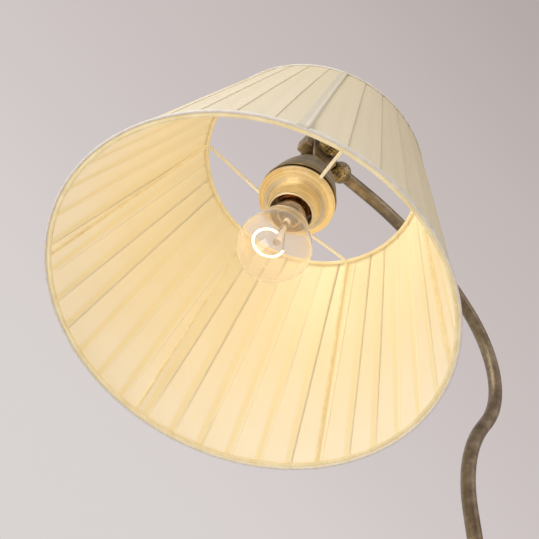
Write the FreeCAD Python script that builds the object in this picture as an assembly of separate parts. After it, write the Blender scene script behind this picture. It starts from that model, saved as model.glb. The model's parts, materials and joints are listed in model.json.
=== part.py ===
import FreeCAD, Part
import math
import os

# Bridge floor lamp with a bent neck and a tilting pleated shade. Millimetres, +Z up.
# The origin is on the floor at the middle of the base, and the neck carries the head towards +X.
# The head's own frame has its origin at the tilt hinge and its Z axis up the shade's axis.

V = FreeCAD.Vector

# Clearances and fits
seat_gap = 0.05          # radial gap of pieces that are pressed or screwed together
running_gap = 0.05       # radial gap of a shaft that turns or slides in its hole
side_gap = 0.1           # gap between faces that turn past each other
passing_gap = 0.3        # radial gap of pieces that pass through each other without bearing
turned_edge = 1.0        # chamfer on the edges of turned pieces
cutter_reach = 1.0       # cutting tools run past the material by this much

# Hexagons, as shares of the radius over their corners
hex_face_share = 0.94    # radius of the turned face
hex_outer_share = 1.02   # radius of the chamfer's outer end
hex_chamfer_share = 0.09 # height of the chamfer

# Base
felt_thickness = 2.5
felt_inset = 1.0         # the felt stops short of the weight's rim by this much
weight_side_gap = 3.8    # room between the weight and the cover's wall
weight_rim_height = 11.0
weight_edge = 3.0        # chamfer round the weight's rim
weight_crown = 6.0       # rise of the weight's top from its rim to its hub
weight_hub_wall = 14.0   # iron left round the nut's recess
weight_hub_drop = 2.0    # the hub's edge is this far below the cover's hub
cover_radius = 130.0
cover_wall = 1.2
cover_edge_lift = 1.0    # the cover's edge clears the floor by this much
cover_shoulder_height = 15.0
cover_shoulder_radius = 5.0
cover_hub_radius = 30.0
cover_hub_height = 27.0
cover_crown = 1.5        # the cover bulges this much between its shoulder and its hub
nut_recess_radius = 28.0
nut_recess_depth = 12.0
cord_channel_width = 10.0
cord_channel_depth = 9.0

# Cord outlet in the back of the base
gland_bore = 7.4
gland_barrel = 11.0
gland_flange = 15.0
gland_flange_thickness = 2.0
gland_length = 9.0
gland_height = 8.6
gland_room = 1.0         # room round the gland's barrel in the weight's notch

# Column
column_radius = 9.0
column_wall = 1.0
column_top = 800.0
foot_radius = 24.0
foot_neck_radius = 11.5
foot_height = 26.0
foot_bead_radius = 13.5
foot_bead_height = 4.5
foot_edge_height = 3.0
foot_edge_chamfer = 2.0
foot_cove_out = 0.30     # the cove's deepest place, as a share of the way from neck to rim
foot_cove_up = 0.36      # and as a share of the foot's height
plug_length = 22.0
nipple_radius = 5.0
nipple_bore = 7.0
nipple_end = 2.0         # nipple beyond the base nut
nipple_reach = 18.0      # nipple inside the column's plug
base_nut_flats = 17.0
base_nut_thickness = 4.0
base_washer_radius = 16.0
base_washer_thickness = 1.6

# Column head: a ferrule in the tube and a collar that turns on it
ferrule_plug_length = 20.0
ferrule_flange_radius = 12.5
ferrule_flange_thickness = 3.0
spigot_radius = 10.0
spigot_length = 22.0
groove_depth = 1.5
groove_width = 4.2
groove_lift = 10.0
collar_radius = 14.0
collar_top_radius = 11.0
collar_height = 53.0
collar_bead = 1.2
collar_bead_height = 3.0
collar_low_bead = 2.0        # the lower bead starts this far above the collar's bottom
collar_high_bead = 12.0      # the upper bead starts this far below its top
collar_high_bead_out = 0.7
guide_bush_radius = 8.5
guide_bush_length = 10.0
retaining_screw_radius = 2.0
retaining_screw_flats = 2.0
retaining_screw_sink = 0.5   # the screw's end lies this far below the collar's side
retaining_socket_depth = 1.8
thumb_screw_radius = 3.0
thumb_screw_height = 34.0
thumb_boss_radius = 7.0
thumb_boss_length = 5.0
thumb_head_radius = 10.0
thumb_head_thickness = 5.0
thumb_head_sink = 2.0        # the stem runs into the head by this much
thumb_head_rim = 3.5         # width of the rim round the head's recesses
thumb_head_recess = 1.4
thumb_stem_length = 9.0
thumb_flange_radius = 4.5
thumb_flange_height = 2.0
thumb_waist_radius = 3.5
shoe_thickness = 1.5
shoe_gap = 0.4               # radial gap of the shoe in the screw's hole

# Neck
neck_radius = 6.0
neck_wall = 1.0
neck_bare_length = 230.0     # straight neck between the collar and the first bend
neck_inside_length = 262.0   # neck below the collar's top
lean_bend_radius = 141.5
lean_angle = 40.2            # how far the neck leans back from the vertical
lean_run = 11.5
crown_bend_radius = 100.7
crown_angle = 77.8
shoulder_bend_radius = 209.2
neck_rise_angle = 11.7       # slope of the neck where it reaches the hinge
tip_run = 61.9               # from the last bend to the hinge
foot_bush_length = 20.0
foot_bush_lip = 2.0          # part of the bush below the neck's end

# Tilt hinge: a square bar on the neck between the cheeks of a yoke
ball_radius = 10.4
ball_to_hinge = 26.5
ball_flat = 0.8              # depth of the ball's flat towards the bar
ball_hole_radius = 2.5       # way for the lead
ball_socket_end = 4.0        # the neck ends this far behind the ball's middle
bar_height = 14.0
bar_width = 14.0
bar_front = 20.5
bar_chamfer = 1.2
friction_washer_radius = 6.6
friction_washer_thickness = 0.7
bolt_radius = 3.0
bolt_head_flats = 10.0
bolt_head_thickness = 4.0
cheek_radius = 13.5
cheek_thickness = 2.5
stem_half_width = 8.0        # the cheeks narrow to this where they meet the web
web_drop = 22.0
web_thickness = 4.0
yoke_fillet = 2.0
spring_washer_radius = 8.0
spring_washer_thickness = 1.0
knob_radius = 12.0
knob_length = 13.0
knob_flutes = 14
knob_flute_radius = 1.7
knob_bore_depth = 11.0
knob_step = 3.0              # the knob's inner face is this much smaller than the knob
knob_step_height = 1.5
knob_face_height = 2.5       # height of the domed face and of the knob's inner end
knob_face_inset = 3.5
knob_flute_out = 0.8         # the flutes' axes lie this far outside the knob

# Head: drops are measured down the shade's axis from the tilt hinge
head_tilt = 19.37            # the shade's axis leans back from the vertical
lock_nut_flats = 14.0
lock_nut_thickness = 3.5
cap_top_drop = 39.0
cap_top_radius = 20.5
cap_corner = 1.2
cap_waist_radius = 28.7
cap_waist_drop = 62.0
cap_rim_radius = 33.4
cap_rim_drop = 82.5
cap_bead = 1.6
cap_wall = 1.0
husk_radius = 12.0
husk_neck_radius = 8.0
husk_neck_height = 3.0
husk_rim = 1.2
husk_waist_out = 1.0
cap_nut_thickness = 3.0
holder_radius = 19.75
holder_wall = 1.2
holder_boss_radius = 8.0
holder_boss_drop = 46.0
holder_boss_length = 8.0
holder_boss_edge = 2.0
holder_dome_drop = 60.0
holder_dome_inset = 4.0      # the dome's arc passes this far inside the holder's side
holder_dome_rise = 4.5       # and this far above the dome's foot
holder_dome_wall_inset = 6.0
holder_dome_wall_rise = 2.4
holder_joint_drop = 78.0
holder_lip_drop = 109.0
holder_lip_edge = 1.0
holder_mouth_radius = 16.0
holder_mouth_drop = 104.0    # the mouth flares out from here to the lip
holder_flare_radius = 18.2
holder_land = 3.0            # height of the mouth's upright part
holder_flange_radius = 23.0
holder_flange_thickness = 2.0
holder_flange_drop = 90.5
insert_thickness = 8.0
terminal_radius = 2.5
terminal_height = 3.0
terminal_offset = 9.0
terminal_shank_radius = 1.2
terminal_slot = 0.7
screw_shell_radius = 14.0
screw_shell_wall = 0.4
screw_shell_flange = 3.0
screw_shell_length = 16.0
contact_radius = 4.0
contact_height = 1.5
ring_nut_radius = 22.3
ring_nut_height = 14.3
ring_nut_grip = 3.1          # height of the nut's upright side
ring_nut_face_radius = 20.6  # where its skirt ends
ring_nut_bulge = 0.7         # how much of the skirt's taper is left halfway down
ring_nut_gap = 0.15
plate_radius = 33.3
plate_thickness = 1.4
plate_rim_lift = 6.2
plate_slope_radius = 26.0
plate_bead = 1.1
plate_bead_lift = 0.8        # the bead hangs this far below the plate's lower face

# Bulb
bulb_radius = 30.0
bulb_length = 104.0
bulb_glass_wall = 0.8
bulb_neck_radius = 13.6
bulb_cap_radius = 13.2
bulb_cap_length = 24.0
bulb_tip_radius = 4.5
bulb_tip_height = 1.5
bulb_insulator_height = 3.5
bulb_cap_wall = 0.4
bulb_cap_shoulder = 3.0      # radius that the cap loses at its insulated end
bulb_cap_shoulder_height = 2.0
stem_radius = 2.6
stem_length = 43.5
stem_flare_edge = 1.0
stem_flare_height = 8.0
stem_flare_out = 2.5         # the flare's arc passes this far outside the stem
stem_bead_radius = 3.4
filament_ring_radius = 13.0
filament_radius = 0.6
filament_lift = 6.5          # the filament hangs this far above the middle of the globe
filament_offset = 7.0        # the ring's middle is this far from the stem
filament_side = -57.0        # direction of the ring's middle from the stem
filament_opening = 80.0      # the ring is open over this angle, where it passes the stem
lead_radius = 0.4

# Shade
shade_bottom_radius = 155.0
shade_top_radius = 100.0
shade_height = 220.0
shade_top_drop = 30.0
fabric_thickness = 1.2
tape_thickness = 0.6
tape_width = 4.5
ring_wire_radius = 1.5
strut_wire_radius = 1.2
arm_wire_radius = 1.5
strut_count = 6
arm_count = 3
first_arm_angle = -33.0

# Places worked out from the sizes above
weight_radius = cover_radius - cover_wall - weight_side_gap
felt_radius = weight_radius - felt_inset
weight_bottom = felt_thickness
cover_hub_under = cover_hub_height - cover_wall
column_bottom = cover_hub_height
collar_bottom = column_top + ferrule_flange_thickness + side_gap
collar_top = collar_bottom + collar_height
neck_bend_start = collar_top + neck_bare_length
neck_bottom = collar_top - neck_inside_length
yoke_inside = bar_width / 2 + friction_washer_thickness + side_gap
yoke_outside = yoke_inside + cheek_thickness
knob_start = yoke_outside + spring_washer_thickness + side_gap
shade_bottom_drop = shade_top_drop + shade_height
shade_slope = (shade_bottom_radius - shade_top_radius) / shade_height
shade_slant = math.cos(math.atan(shade_slope))
bulb_tip_drop = holder_joint_drop + insert_thickness + contact_height
globe_drop = bulb_tip_drop + bulb_length - bulb_radius
plate_seat_drop = holder_flange_drop + holder_flange_thickness


def polar(radius, degrees, height=0.0):
    turn = math.radians(degrees)
    return V(radius * math.cos(turn), radius * math.sin(turn), height)


def outline(start, *steps):
    """Closed face in the XZ plane. A step is a point, or a pair (point on an arc, end of the arc)."""
    here = V(start[0], 0, start[1])
    first = here
    edges = []
    for step in steps:
        if isinstance(step[0], tuple):
            middle = V(step[0][0], 0, step[0][1])
            there = V(step[1][0], 0, step[1][1])
            edges.append(Part.Arc(here, middle, there).toShape())
        else:
            there = V(step[0], 0, step[1])
            edges.append(Part.LineSegment(here, there).toShape())
        here = there
    if here.distanceToPoint(first) > 1e-6:
        edges.append(Part.LineSegment(here, first).toShape())
    return Part.Face(Part.Wire(edges))


def turned(start, *steps):
    """Solid of revolution about Z from an outline of (radius, height) points."""
    return outline(start, *steps).revolve(V(0, 0, 0), V(0, 0, 1), 360)


def dome(radius, edge, tip):
    """Outline step from the rim (radius, edge) to the axis at tip, on a ball centred on the axis."""
    rise = tip - edge
    ball = (radius * radius + rise * rise) / (2 * rise)
    half_angle = math.asin(radius / abs(ball)) / 2
    middle = (abs(ball) * math.sin(half_angle), tip - ball + ball * math.cos(half_angle))
    return middle, (0, tip)


def rod(radius, bottom, top):
    return Part.makeCylinder(radius, top - bottom, V(0, 0, bottom))


def pipe(outer, inner, bottom, top):
    return rod(outer, bottom, top).cut(rod(inner, bottom, top))


def hexagon(flats, bottom, top, hole=0.0):
    corner = flats / math.sqrt(3)
    ring = [polar(corner, 60 * i, bottom) for i in range(7)]
    prism = Part.Face(Part.makePolygon(ring)).extrude(V(0, 0, top - bottom))
    face = hex_face_share * corner
    outer = hex_outer_share * corner
    chamfer = hex_chamfer_share * corner
    crown = turned((0, bottom), (face, bottom), (outer, bottom + chamfer), (outer, top - chamfer),
                   (face, top), (0, top))
    prism = prism.common(crown)
    if hole:
        prism = prism.cut(rod(hole, bottom - cutter_reach, top + cutter_reach))
    return prism


def along_y(shape):
    """Turns a shape made along +Z so that it runs along +Y."""
    return shape.rotated(V(0, 0, 0), V(1, 0, 0), -90)


def along_minus_x(shape):
    return shape.rotated(V(0, 0, 0), V(0, 1, 0), -90)


# ------------------------------------------------------------------ base

def cover_profile(inset):
    """Points of the cover's outer line moved inwards, from its edge up to the hub."""
    side = cover_radius - inset
    bend = cover_shoulder_radius - inset
    shoulder = cover_shoulder_height - inset
    centre = (cover_radius - cover_shoulder_radius, cover_shoulder_height - cover_shoulder_radius)
    corner = (centre[0] + bend * math.sqrt(0.5), centre[1] + bend * math.sqrt(0.5))
    middle = ((side + cover_hub_radius) / 2, (shoulder + cover_hub_height - inset) / 2 + cover_crown)
    return side, centre, corner, shoulder, middle


def base_cover():
    side, centre, corner, shoulder, middle = cover_profile(0)
    side_in, _, corner_in, shoulder_in, middle_in = cover_profile(cover_wall)
    hole = nipple_radius + seat_gap
    shell = turned((side, cover_edge_lift), (side, centre[1]), (corner, (centre[0], shoulder)),
                   (middle, (cover_hub_radius, cover_hub_height)), (hole, cover_hub_height),
                   (hole, cover_hub_under), (cover_hub_radius, cover_hub_under),
                   (middle_in, (centre[0], shoulder_in)), (corner_in, (side_in, centre[1])),
                   (side_in, cover_edge_lift))
    hole = rod(gland_barrel / 2 + seat_gap, cover_radius - gland_length, cover_radius + gland_length)
    return shell.cut(along_minus_x(hole).translated(V(0, 0, gland_height)))


def base_weight():
    """Cast weight with a recess for the nut, a channel for the lead and a notch for the gland."""
    hub = nut_recess_radius + weight_hub_wall
    rim_top = weight_bottom + weight_rim_height
    hole = nipple_radius + seat_gap
    recess = weight_bottom + nut_recess_depth
    body = turned((nut_recess_radius, weight_bottom), (weight_radius, weight_bottom),
                  (weight_radius, rim_top - weight_edge), (weight_radius - weight_edge, rim_top),
                  (hub + weight_crown, rim_top + weight_crown), (hub, cover_hub_under - weight_hub_drop),
                  (cover_hub_radius, cover_hub_under), (hole, cover_hub_under),
                  (hole, recess), (nut_recess_radius, recess))
    channel = Part.makeBox(weight_radius, cord_channel_width, cord_channel_depth,
                           V(-weight_radius - cutter_reach, -cord_channel_width / 2, weight_bottom))
    notch_width = gland_barrel + 2 * gland_room
    notch_start = cover_radius - gland_length - gland_room
    notch = Part.makeBox(cover_radius - notch_start, notch_width, 2 * weight_rim_height,
                         V(-cover_radius, -notch_width / 2, weight_bottom))
    return body.cut(channel).cut(notch)


def base_felt():
    return rod(felt_radius, 0, felt_thickness)


def cord_gland():
    inner = cover_radius - gland_length
    outer = cover_radius + gland_flange_thickness
    barrel = rod(gland_barrel / 2, inner, cover_radius)
    lip = turned((0, cover_radius), (gland_flange / 2, cover_radius),
                 (gland_flange / 2, outer - gland_flange_thickness / 2),
                 (gland_flange / 2 - gland_flange_thickness / 2, outer), (0, outer))
    bore = rod(gland_bore / 2, inner - cutter_reach, outer + cutter_reach)
    whole = barrel.fuse(lip).removeSplitter().cut(bore)
    return along_minus_x(whole).translated(V(0, 0, gland_height))


def tie_nipple():
    bottom = weight_bottom + nut_recess_depth - base_washer_thickness - base_nut_thickness - nipple_end
    return pipe(nipple_radius, nipple_bore / 2, bottom, column_bottom + nipple_reach)


def base_washer():
    top = weight_bottom + nut_recess_depth
    return pipe(base_washer_radius, nipple_radius + seat_gap, top - base_washer_thickness, top)


def base_nut():
    top = weight_bottom + nut_recess_depth - base_washer_thickness
    return hexagon(base_nut_flats, top - base_nut_thickness, top, nipple_radius + seat_gap)


# ---------------------------------------------------------------- column

def column_foot():
    low = cover_hub_height
    high = low + foot_height
    bore = column_radius + seat_gap
    edge = low + foot_edge_height
    bead = high - foot_bead_height
    cove = (foot_neck_radius + foot_cove_out * (foot_radius - foot_neck_radius),
            low + foot_cove_up * foot_height)
    return turned((bore, low), (foot_radius, low), (foot_radius, edge),
                  (foot_radius - foot_edge_chamfer, edge + foot_edge_chamfer),
                  (cove, (foot_neck_radius, bead - foot_bead_height / 2)),
                  ((foot_bead_radius, bead), (foot_neck_radius, bead + foot_bead_height / 2)),
                  (foot_neck_radius, high), (bore, high))


def column_tube():
    return pipe(column_radius, column_radius - column_wall, column_bottom, column_top)


def column_plug():
    return pipe(column_radius - column_wall - seat_gap, nipple_radius + seat_gap,
                column_bottom, column_bottom + plug_length)


def column_ferrule():
    inside = column_radius - column_wall - seat_gap
    bore = neck_radius + passing_gap
    flange_top = column_top + ferrule_flange_thickness
    top = flange_top + spigot_length
    groove = flange_top + groove_lift
    waist = spigot_radius - groove_depth
    return turned((bore, column_top - ferrule_plug_length), (inside, column_top - ferrule_plug_length),
                  (inside, column_top), (ferrule_flange_radius - turned_edge, column_top),
                  (ferrule_flange_radius, column_top + turned_edge), (ferrule_flange_radius, flange_top),
                  (spigot_radius, flange_top), (spigot_radius, groove), (waist, groove),
                  (waist, groove + groove_width), (spigot_radius, groove + groove_width),
                  (spigot_radius, top - turned_edge), (spigot_radius - turned_edge, top), (bore, top))


# ---------------------------------------------------------------- collar

def swivel_collar():
    low_bore = spigot_radius + running_gap
    neck_bore = neck_radius + passing_gap
    low = collar_bottom
    high = collar_top
    bore_top = low + spigot_length + cutter_reach
    seat = high - guide_bush_length
    seat_bore = guide_bush_radius + seat_gap
    low_bead = low + collar_low_bead
    high_bead = high - collar_high_bead
    half = collar_bead_height / 2
    body = turned((low_bore, low), (collar_radius, low), (collar_radius, low_bead),
                  ((collar_radius + collar_bead, low_bead + half), (collar_radius, low_bead + 2 * half)),
                  (collar_radius, high_bead),
                  ((collar_radius + collar_high_bead_out, high_bead + half),
                   (collar_radius - turned_edge, high_bead + 2 * half)),
                  (collar_top_radius, high - turned_edge), (collar_top_radius - turned_edge, high),
                  (seat_bore, high), (seat_bore, seat), (neck_bore, seat), (neck_bore, bore_top),
                  (low_bore, bore_top))
    screw_z = low + thumb_screw_height
    boss_end = collar_radius + thumb_boss_length
    boss = along_minus_x(rod(thumb_boss_radius, spigot_radius, boss_end))
    body = body.fuse(boss.translated(V(0, 0, screw_z))).removeSplitter()
    tap_start = neck_radius - cutter_reach
    tap = along_minus_x(rod(thumb_screw_radius + running_gap, tap_start, boss_end + cutter_reach))
    body = body.cut(tap.translated(V(0, 0, screw_z)))
    for side in (90, -90):
        body = body.cut(retaining_screw(side, retaining_screw_radius + seat_gap))
    return body


def retaining_screw(side, radius):
    tip = spigot_radius - groove_depth + passing_gap
    end = collar_radius - retaining_screw_sink
    screw = rod(radius, tip, end).rotated(V(0, 0, 0), V(0, 1, 0), 90)
    height = column_top + ferrule_flange_thickness + groove_lift + groove_width / 2
    return screw.rotated(V(0, 0, 0), V(0, 0, 1), side).translated(V(0, 0, height))


def retaining_screws():
    key = retaining_screw_flats
    bottom = collar_radius - retaining_screw_sink - retaining_socket_depth
    height = column_top + ferrule_flange_thickness + groove_lift + groove_width / 2
    screws = []
    for side in (90, -90):
        socket = Part.makeBox(collar_radius, key, key, V(bottom, -key / 2, -key / 2))
        socket = socket.rotated(V(0, 0, 0), V(0, 0, 1), side).translated(V(0, 0, height))
        screws.append(retaining_screw(side, retaining_screw_radius).cut(socket))
    return Part.makeCompound(screws)


def guide_bush():
    return pipe(guide_bush_radius, neck_radius + running_gap, collar_top - guide_bush_length, collar_top)


def thumb_screw():
    tip = neck_radius + running_gap + shoe_thickness + side_gap
    boss_end = collar_radius + thumb_boss_length
    stem_end = boss_end + thumb_stem_length
    screw = rod(thumb_screw_radius, tip, stem_end)
    flange = boss_end + turned_edge
    stem = turned((0, flange), (thumb_flange_radius, flange),
                  (thumb_flange_radius, flange + thumb_flange_height), (thumb_waist_radius, stem_end),
                  (0, stem_end))
    centre = V(0, -thumb_head_thickness / 2, stem_end + thumb_head_radius - thumb_head_sink)
    disc = Part.makeCylinder(thumb_head_radius, thumb_head_thickness, centre, V(0, 1, 0))
    recess = Part.makeCylinder(thumb_head_radius - thumb_head_rim, thumb_head_recess, centre, V(0, 1, 0))
    far_recess = recess.translated(V(0, thumb_head_thickness - thumb_head_recess, 0))
    whole = screw.fuse([stem, disc.cut(recess).cut(far_recess)]).removeSplitter()
    return along_minus_x(whole).translated(V(0, 0, collar_bottom + thumb_screw_height))


def clamp_shoe():
    """Brass pad between the screw's tip and the neck, hollowed to the neck's round."""
    outer = neck_radius + running_gap + shoe_thickness
    pad = along_minus_x(rod(thumb_screw_radius - shoe_gap, neck_radius - shoe_thickness, outer))
    pad = pad.translated(V(0, 0, collar_bottom + thumb_screw_height))
    return pad.cut(rod(neck_radius + running_gap, 0, collar_top))


# ------------------------------------------------------------------ neck

def trail(start, heading, moves):
    """Line and arc edges in the XZ plane. A move is (length,) or (radius, degrees to the left)."""
    edges = []
    here = start
    for move in moves:
        ahead = V(math.cos(heading), 0, math.sin(heading))
        if len(move) == 1:
            there = here + ahead * move[0]
            edges.append(Part.LineSegment(here, there).toShape())
        else:
            turn = math.radians(move[1])
            left = V(-ahead.z, 0, ahead.x)
            centre = here + left * math.copysign(move[0], turn)
            arm = here - centre

            def swung(angle):
                return centre + V(arm.x * math.cos(angle) - arm.z * math.sin(angle), 0,
                                  arm.x * math.sin(angle) + arm.z * math.cos(angle))
            there = swung(turn)
            edges.append(Part.Arc(here, swung(turn / 2), there).toShape())
            heading += turn
        here = there
    return edges, here, heading


def neck_line():
    up = math.radians(90)
    shoulder_angle = 90 + lean_angle - crown_angle - neck_rise_angle
    moves = [(neck_bend_start - neck_bottom,), (lean_bend_radius, lean_angle), (lean_run,),
             (crown_bend_radius, -crown_angle), (shoulder_bend_radius, -shoulder_angle),
             (tip_run - ball_to_hinge - ball_socket_end,)]
    return trail(V(0, 0, neck_bottom), up, moves)


def hinge_point():
    edges, tip, heading = neck_line()
    reach = ball_to_hinge + ball_socket_end
    return tip + V(math.cos(heading), 0, math.sin(heading)) * reach


def neck_tube():
    edges = neck_line()[0]
    solids = []
    for radius in (neck_radius, neck_radius - neck_wall):
        ring = Part.Wire(Part.makeCircle(radius, V(0, 0, neck_bottom)))
        solids.append(Part.Wire(edges).makePipeShell([ring], True, True))
    return solids[0].cut(solids[1])


def foot_bush():
    """Plastic bush pinned on the neck's lower end, sliding in the column."""
    sliding = column_radius - column_wall - running_gap
    low = neck_bottom - foot_bush_lip
    high = low + foot_bush_length
    edge = turned_edge
    return turned((neck_radius + seat_gap, neck_bottom), (neck_radius + seat_gap, high),
                  (sliding - edge, high), (sliding, high - edge), (sliding, low + edge),
                  (sliding - edge, low), (neck_radius - neck_wall, low),
                  (neck_radius - neck_wall, neck_bottom))


# ------------------------------------------------- hinge, in the neck's frame

def neck_ball():
    """Turned ball between the neck's tip and the square bar. It is made along Z, bar side up."""
    back = -ball_to_hinge - ball_radius
    seat = -ball_to_hinge - ball_socket_end
    front = -ball_to_hinge + ball_radius
    ball = Part.makeSphere(ball_radius, V(0, 0, -ball_to_hinge))
    ball = ball.common(rod(2 * ball_radius, back, front - ball_flat))
    socket = rod(neck_radius + seat_gap, back, seat)
    hole = rod(ball_hole_radius, seat, front)
    return ball.cut(socket).cut(hole)


def knuckle_bar():
    back = -ball_to_hinge + ball_radius - ball_flat
    block = Part.makeBox(bar_height, bar_width, bar_front - back, V(-bar_height / 2, -bar_width / 2, back))
    block = block.makeChamfer(bar_chamfer, block.Edges)
    return block.cut(along_y(rod(bolt_radius + running_gap, -bar_width, bar_width)))


def neck_side(shape):
    """Puts a shape made along Z, hinge at the origin, on the neck's tip."""
    turned_shape = shape.rotated(V(0, 0, 0), V(0, 1, 0), 90 - neck_rise_angle)
    return turned_shape.translated(hinge_point())


def friction_washers():
    half = bar_width / 2
    ring = pipe(friction_washer_radius, bolt_radius + running_gap, half, half + friction_washer_thickness)
    near = along_y(ring)
    return Part.makeCompound([near, near.mirror(V(0, 0, 0), V(0, 1, 0))])


# -------------------------------------------------- head, in the head's frame

def on_head(shape):
    return shape.rotated(V(0, 0, 0), V(0, 1, 0), -head_tilt).translated(hinge_point())


def tangent_point(side):
    """Point of an ear where the line to its stem's corner on that side leaves the circle."""
    reach = math.hypot(stem_half_width, web_drop)
    down = math.atan2(-web_drop, side * stem_half_width)
    turn = down + side * math.acos(cheek_radius / reach)
    return cheek_radius * math.cos(turn), cheek_radius * math.sin(turn)


def tilt_yoke():
    """Web with two cheeks: round ears on stems that widen towards the web's corners."""
    bottom = -web_drop - web_thickness
    half = stem_half_width
    ear = outline((-half, bottom), (half, bottom), (half, -web_drop), tangent_point(1),
                  ((0, cheek_radius), tangent_point(-1)), (-half, -web_drop))
    cheeks = [ear.extrude(V(0, cheek_thickness, 0)).translated(V(0, side, 0))
              for side in (-yoke_outside, yoke_inside)]
    web = Part.makeBox(2 * half, 2 * yoke_outside, web_thickness, V(-half, -yoke_outside, bottom))
    body = web.fuse(cheeks).removeSplitter()
    corners = [e for e in body.Edges
               if abs(e.BoundBox.ZMax - bottom) < 1e-3 and e.BoundBox.XLength > half
               and e.BoundBox.ZLength < 1e-3]
    body = body.makeFillet(yoke_fillet, corners)
    body = body.cut(along_y(rod(bolt_radius + seat_gap, -2 * yoke_outside, 2 * yoke_outside)))
    return body.cut(rod(nipple_radius + seat_gap, bottom - cutter_reach, 0))


def hinge_bolt():
    head_start = -yoke_outside - bolt_head_thickness
    shank = rod(bolt_radius, -yoke_outside, knob_start + knob_bore_depth - turned_edge)
    head = hexagon(bolt_head_flats, head_start, -yoke_outside)
    return along_y(head.fuse(shank).removeSplitter())


def spring_washer():
    return along_y(pipe(spring_washer_radius, bolt_radius + seat_gap,
                        yoke_outside, yoke_outside + spring_washer_thickness))


def tilt_knob():
    low = knob_start
    high = low + knob_length
    inner = knob_radius - knob_step
    body = turned((0, low), (inner, low), (inner, low + knob_step_height),
                  (knob_radius, low + knob_face_height), (knob_radius, high - knob_face_height),
                  ((knob_radius - turned_edge, high - turned_edge), (knob_radius - knob_face_inset, high)),
                  (0, high))
    for i in range(knob_flutes):
        flute = Part.makeCylinder(knob_flute_radius, knob_length,
                                  polar(knob_radius + knob_flute_out, 360 * i / knob_flutes, low))
        body = body.cut(flute)
    body = body.cut(rod(bolt_radius + running_gap, low - cutter_reach, low + knob_bore_depth))
    return along_y(body)


def lock_nut():
    top = -web_drop - web_thickness
    return hexagon(lock_nut_flats, top - lock_nut_thickness, top, nipple_radius + seat_gap)


def holder_husk():
    """Turned spacer between the lock nut and the cap."""
    top = -web_drop - web_thickness - lock_nut_thickness
    low = -cap_top_drop
    hole = nipple_radius + seat_gap
    waist = (husk_neck_radius + husk_waist_out, low + husk_neck_height)
    return turned((hole, top), (husk_neck_radius, top), (husk_neck_radius, top - husk_neck_height),
                  (waist, (husk_radius, low + husk_rim)), (husk_radius, low), (hole, low))


def holder_nipple():
    return pipe(nipple_radius, nipple_bore / 2, turned_edge - holder_boss_drop - holder_boss_length,
                -web_drop)


def cap_nut():
    top = -cap_top_drop - cap_wall
    return hexagon(lock_nut_flats, top - cap_nut_thickness, top, nipple_radius + seat_gap)


def holder_cap():
    """Spun bell over the lampholder, one long curve from its top to a rolled rim."""
    hole = nipple_radius + seat_gap
    top = -cap_top_drop
    low = -cap_rim_drop
    corner = cap_corner * math.sqrt(0.5)
    bead = low + cap_bead
    edge = cap_rim_radius - cap_bead / 2
    under = top - cap_wall
    waist_under = (cap_waist_radius - cap_wall, -cap_waist_drop)
    return turned((hole, top), (cap_top_radius - cap_corner, top),
                  ((cap_top_radius - cap_corner + corner, top - cap_corner + corner),
                   (cap_top_radius, top - cap_corner)),
                  ((cap_waist_radius, -cap_waist_drop), (edge, bead)),
                  ((cap_rim_radius, bead - cap_bead / 2), (edge, low)), (edge - cap_wall, low),
                  (waist_under, (cap_top_radius - cap_wall, under)), (hole, under))


def holder_dome():
    """Upper half of the lampholder, screwed on the nipple."""
    hole = nipple_radius + seat_gap
    top = -holder_boss_drop
    boss_end = top - holder_boss_length
    inner = holder_radius - holder_wall
    foot = -holder_dome_drop
    side = foot - turned_edge
    return turned((hole, top), (holder_boss_radius, top), (holder_boss_radius, boss_end + holder_boss_edge),
                  ((holder_radius - holder_dome_inset, foot + holder_dome_rise), (holder_radius, side)),
                  (holder_radius, -holder_joint_drop), (inner, -holder_joint_drop), (inner, side),
                  (holder_radius - holder_dome_wall_inset, foot + holder_dome_wall_rise),
                  (holder_boss_radius, boss_end), (hole, boss_end))


def holder_shell():
    """Lower half of the lampholder, threaded outside for the ring nut."""
    inner = holder_radius - holder_wall + passing_gap
    lip = -holder_lip_drop
    mouth = -holder_mouth_drop
    flange_top = -holder_flange_drop
    flange_low = flange_top - holder_flange_thickness
    edge = holder_lip_edge
    round_off = edge * math.sqrt(0.5)
    return turned((inner, -holder_joint_drop), (holder_radius, -holder_joint_drop),
                  (holder_radius, flange_top), (holder_flange_radius, flange_top),
                  (holder_flange_radius, flange_low), (holder_radius, flange_low),
                  (holder_radius, lip + edge),
                  ((holder_radius - edge + round_off, lip + edge - round_off), (holder_radius - edge, lip)),
                  (holder_flare_radius, lip), (holder_mouth_radius, mouth),
                  (holder_mouth_radius, mouth + holder_land), (inner, mouth + holder_land))


def holder_insert():
    """Porcelain body that carries the contacts."""
    top = -holder_joint_drop
    body = rod(holder_radius - holder_wall + passing_gap - seat_gap, top - insert_thickness, top)
    for side in (-1, 1):
        body = body.cut(Part.makeCylinder(terminal_shank_radius, insert_thickness,
                                          V(side * terminal_offset, 0, top - insert_thickness)))
    return body


def terminal_screws():
    top = -holder_joint_drop
    screws = []
    for side in (-1, 1):
        centre = V(side * terminal_offset, 0, top)
        head = Part.makeCylinder(terminal_radius, terminal_height, centre)
        shank = Part.makeCylinder(terminal_shank_radius - seat_gap, insert_thickness - 2 * side_gap,
                                  centre, V(0, 0, -1))
        corner = V(-terminal_radius, -terminal_slot / 2, terminal_height - terminal_slot)
        slot = Part.makeBox(2 * terminal_radius, terminal_slot, terminal_slot, centre + corner)
        screws.append(head.fuse(shank).removeSplitter().cut(slot))
    return Part.makeCompound(screws)


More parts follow.
